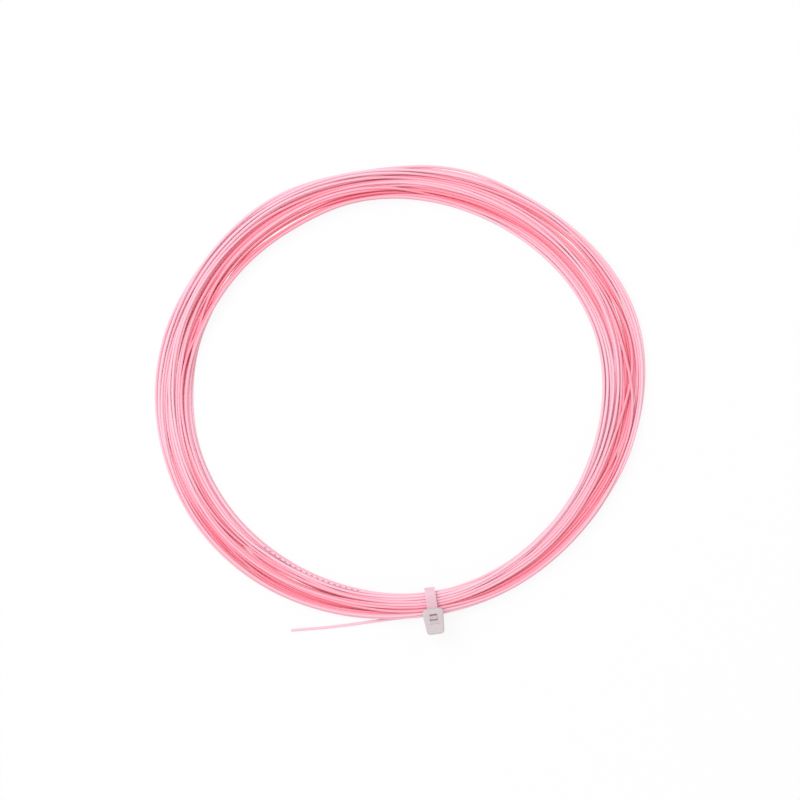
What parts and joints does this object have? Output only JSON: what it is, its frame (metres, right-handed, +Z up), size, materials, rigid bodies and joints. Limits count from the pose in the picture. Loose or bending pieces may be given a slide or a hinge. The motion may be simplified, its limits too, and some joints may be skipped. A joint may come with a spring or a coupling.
{
  "type": "coil of line",
  "caption": "Loose flat coil of thin line with one short free end, its bundle of turns held by a small ratchet cable tie with a sprung pawl.",
  "frame": {"origin": "on the surface that the coil lies on, under the middle of the whole object's outline", "axes": "+Z up, square to the flat coil; +X along the coil's longest extent; the tie is at the -Y side of the coil"},
  "size_m": [0.1173, 0.1121, 0.007],
  "materials": {
    "line": "pink nylon line, satin",
    "tie": "natural nylon, milky and slightly translucent"
  },
  "bodies": {
    "coil_and_tie": {"line_coil": "line", "line_tail": "line", "tie_strap": "tie", "tie_head": "tie"},
    "pawl": {"tie_pawl": "tie"}
  },
  "joints": [
    {"name": "pawl_flex", "type": "hinge", "parent": "coil_and_tie", "child": "pawl", "pos_m": [0.00794, -0.05155, 0.0041], "axis": [-0.9898, -0.1426, 0], "range_deg": [0, 6.5], "stiffness_Nm_per_rad": 0.01}
  ]
}
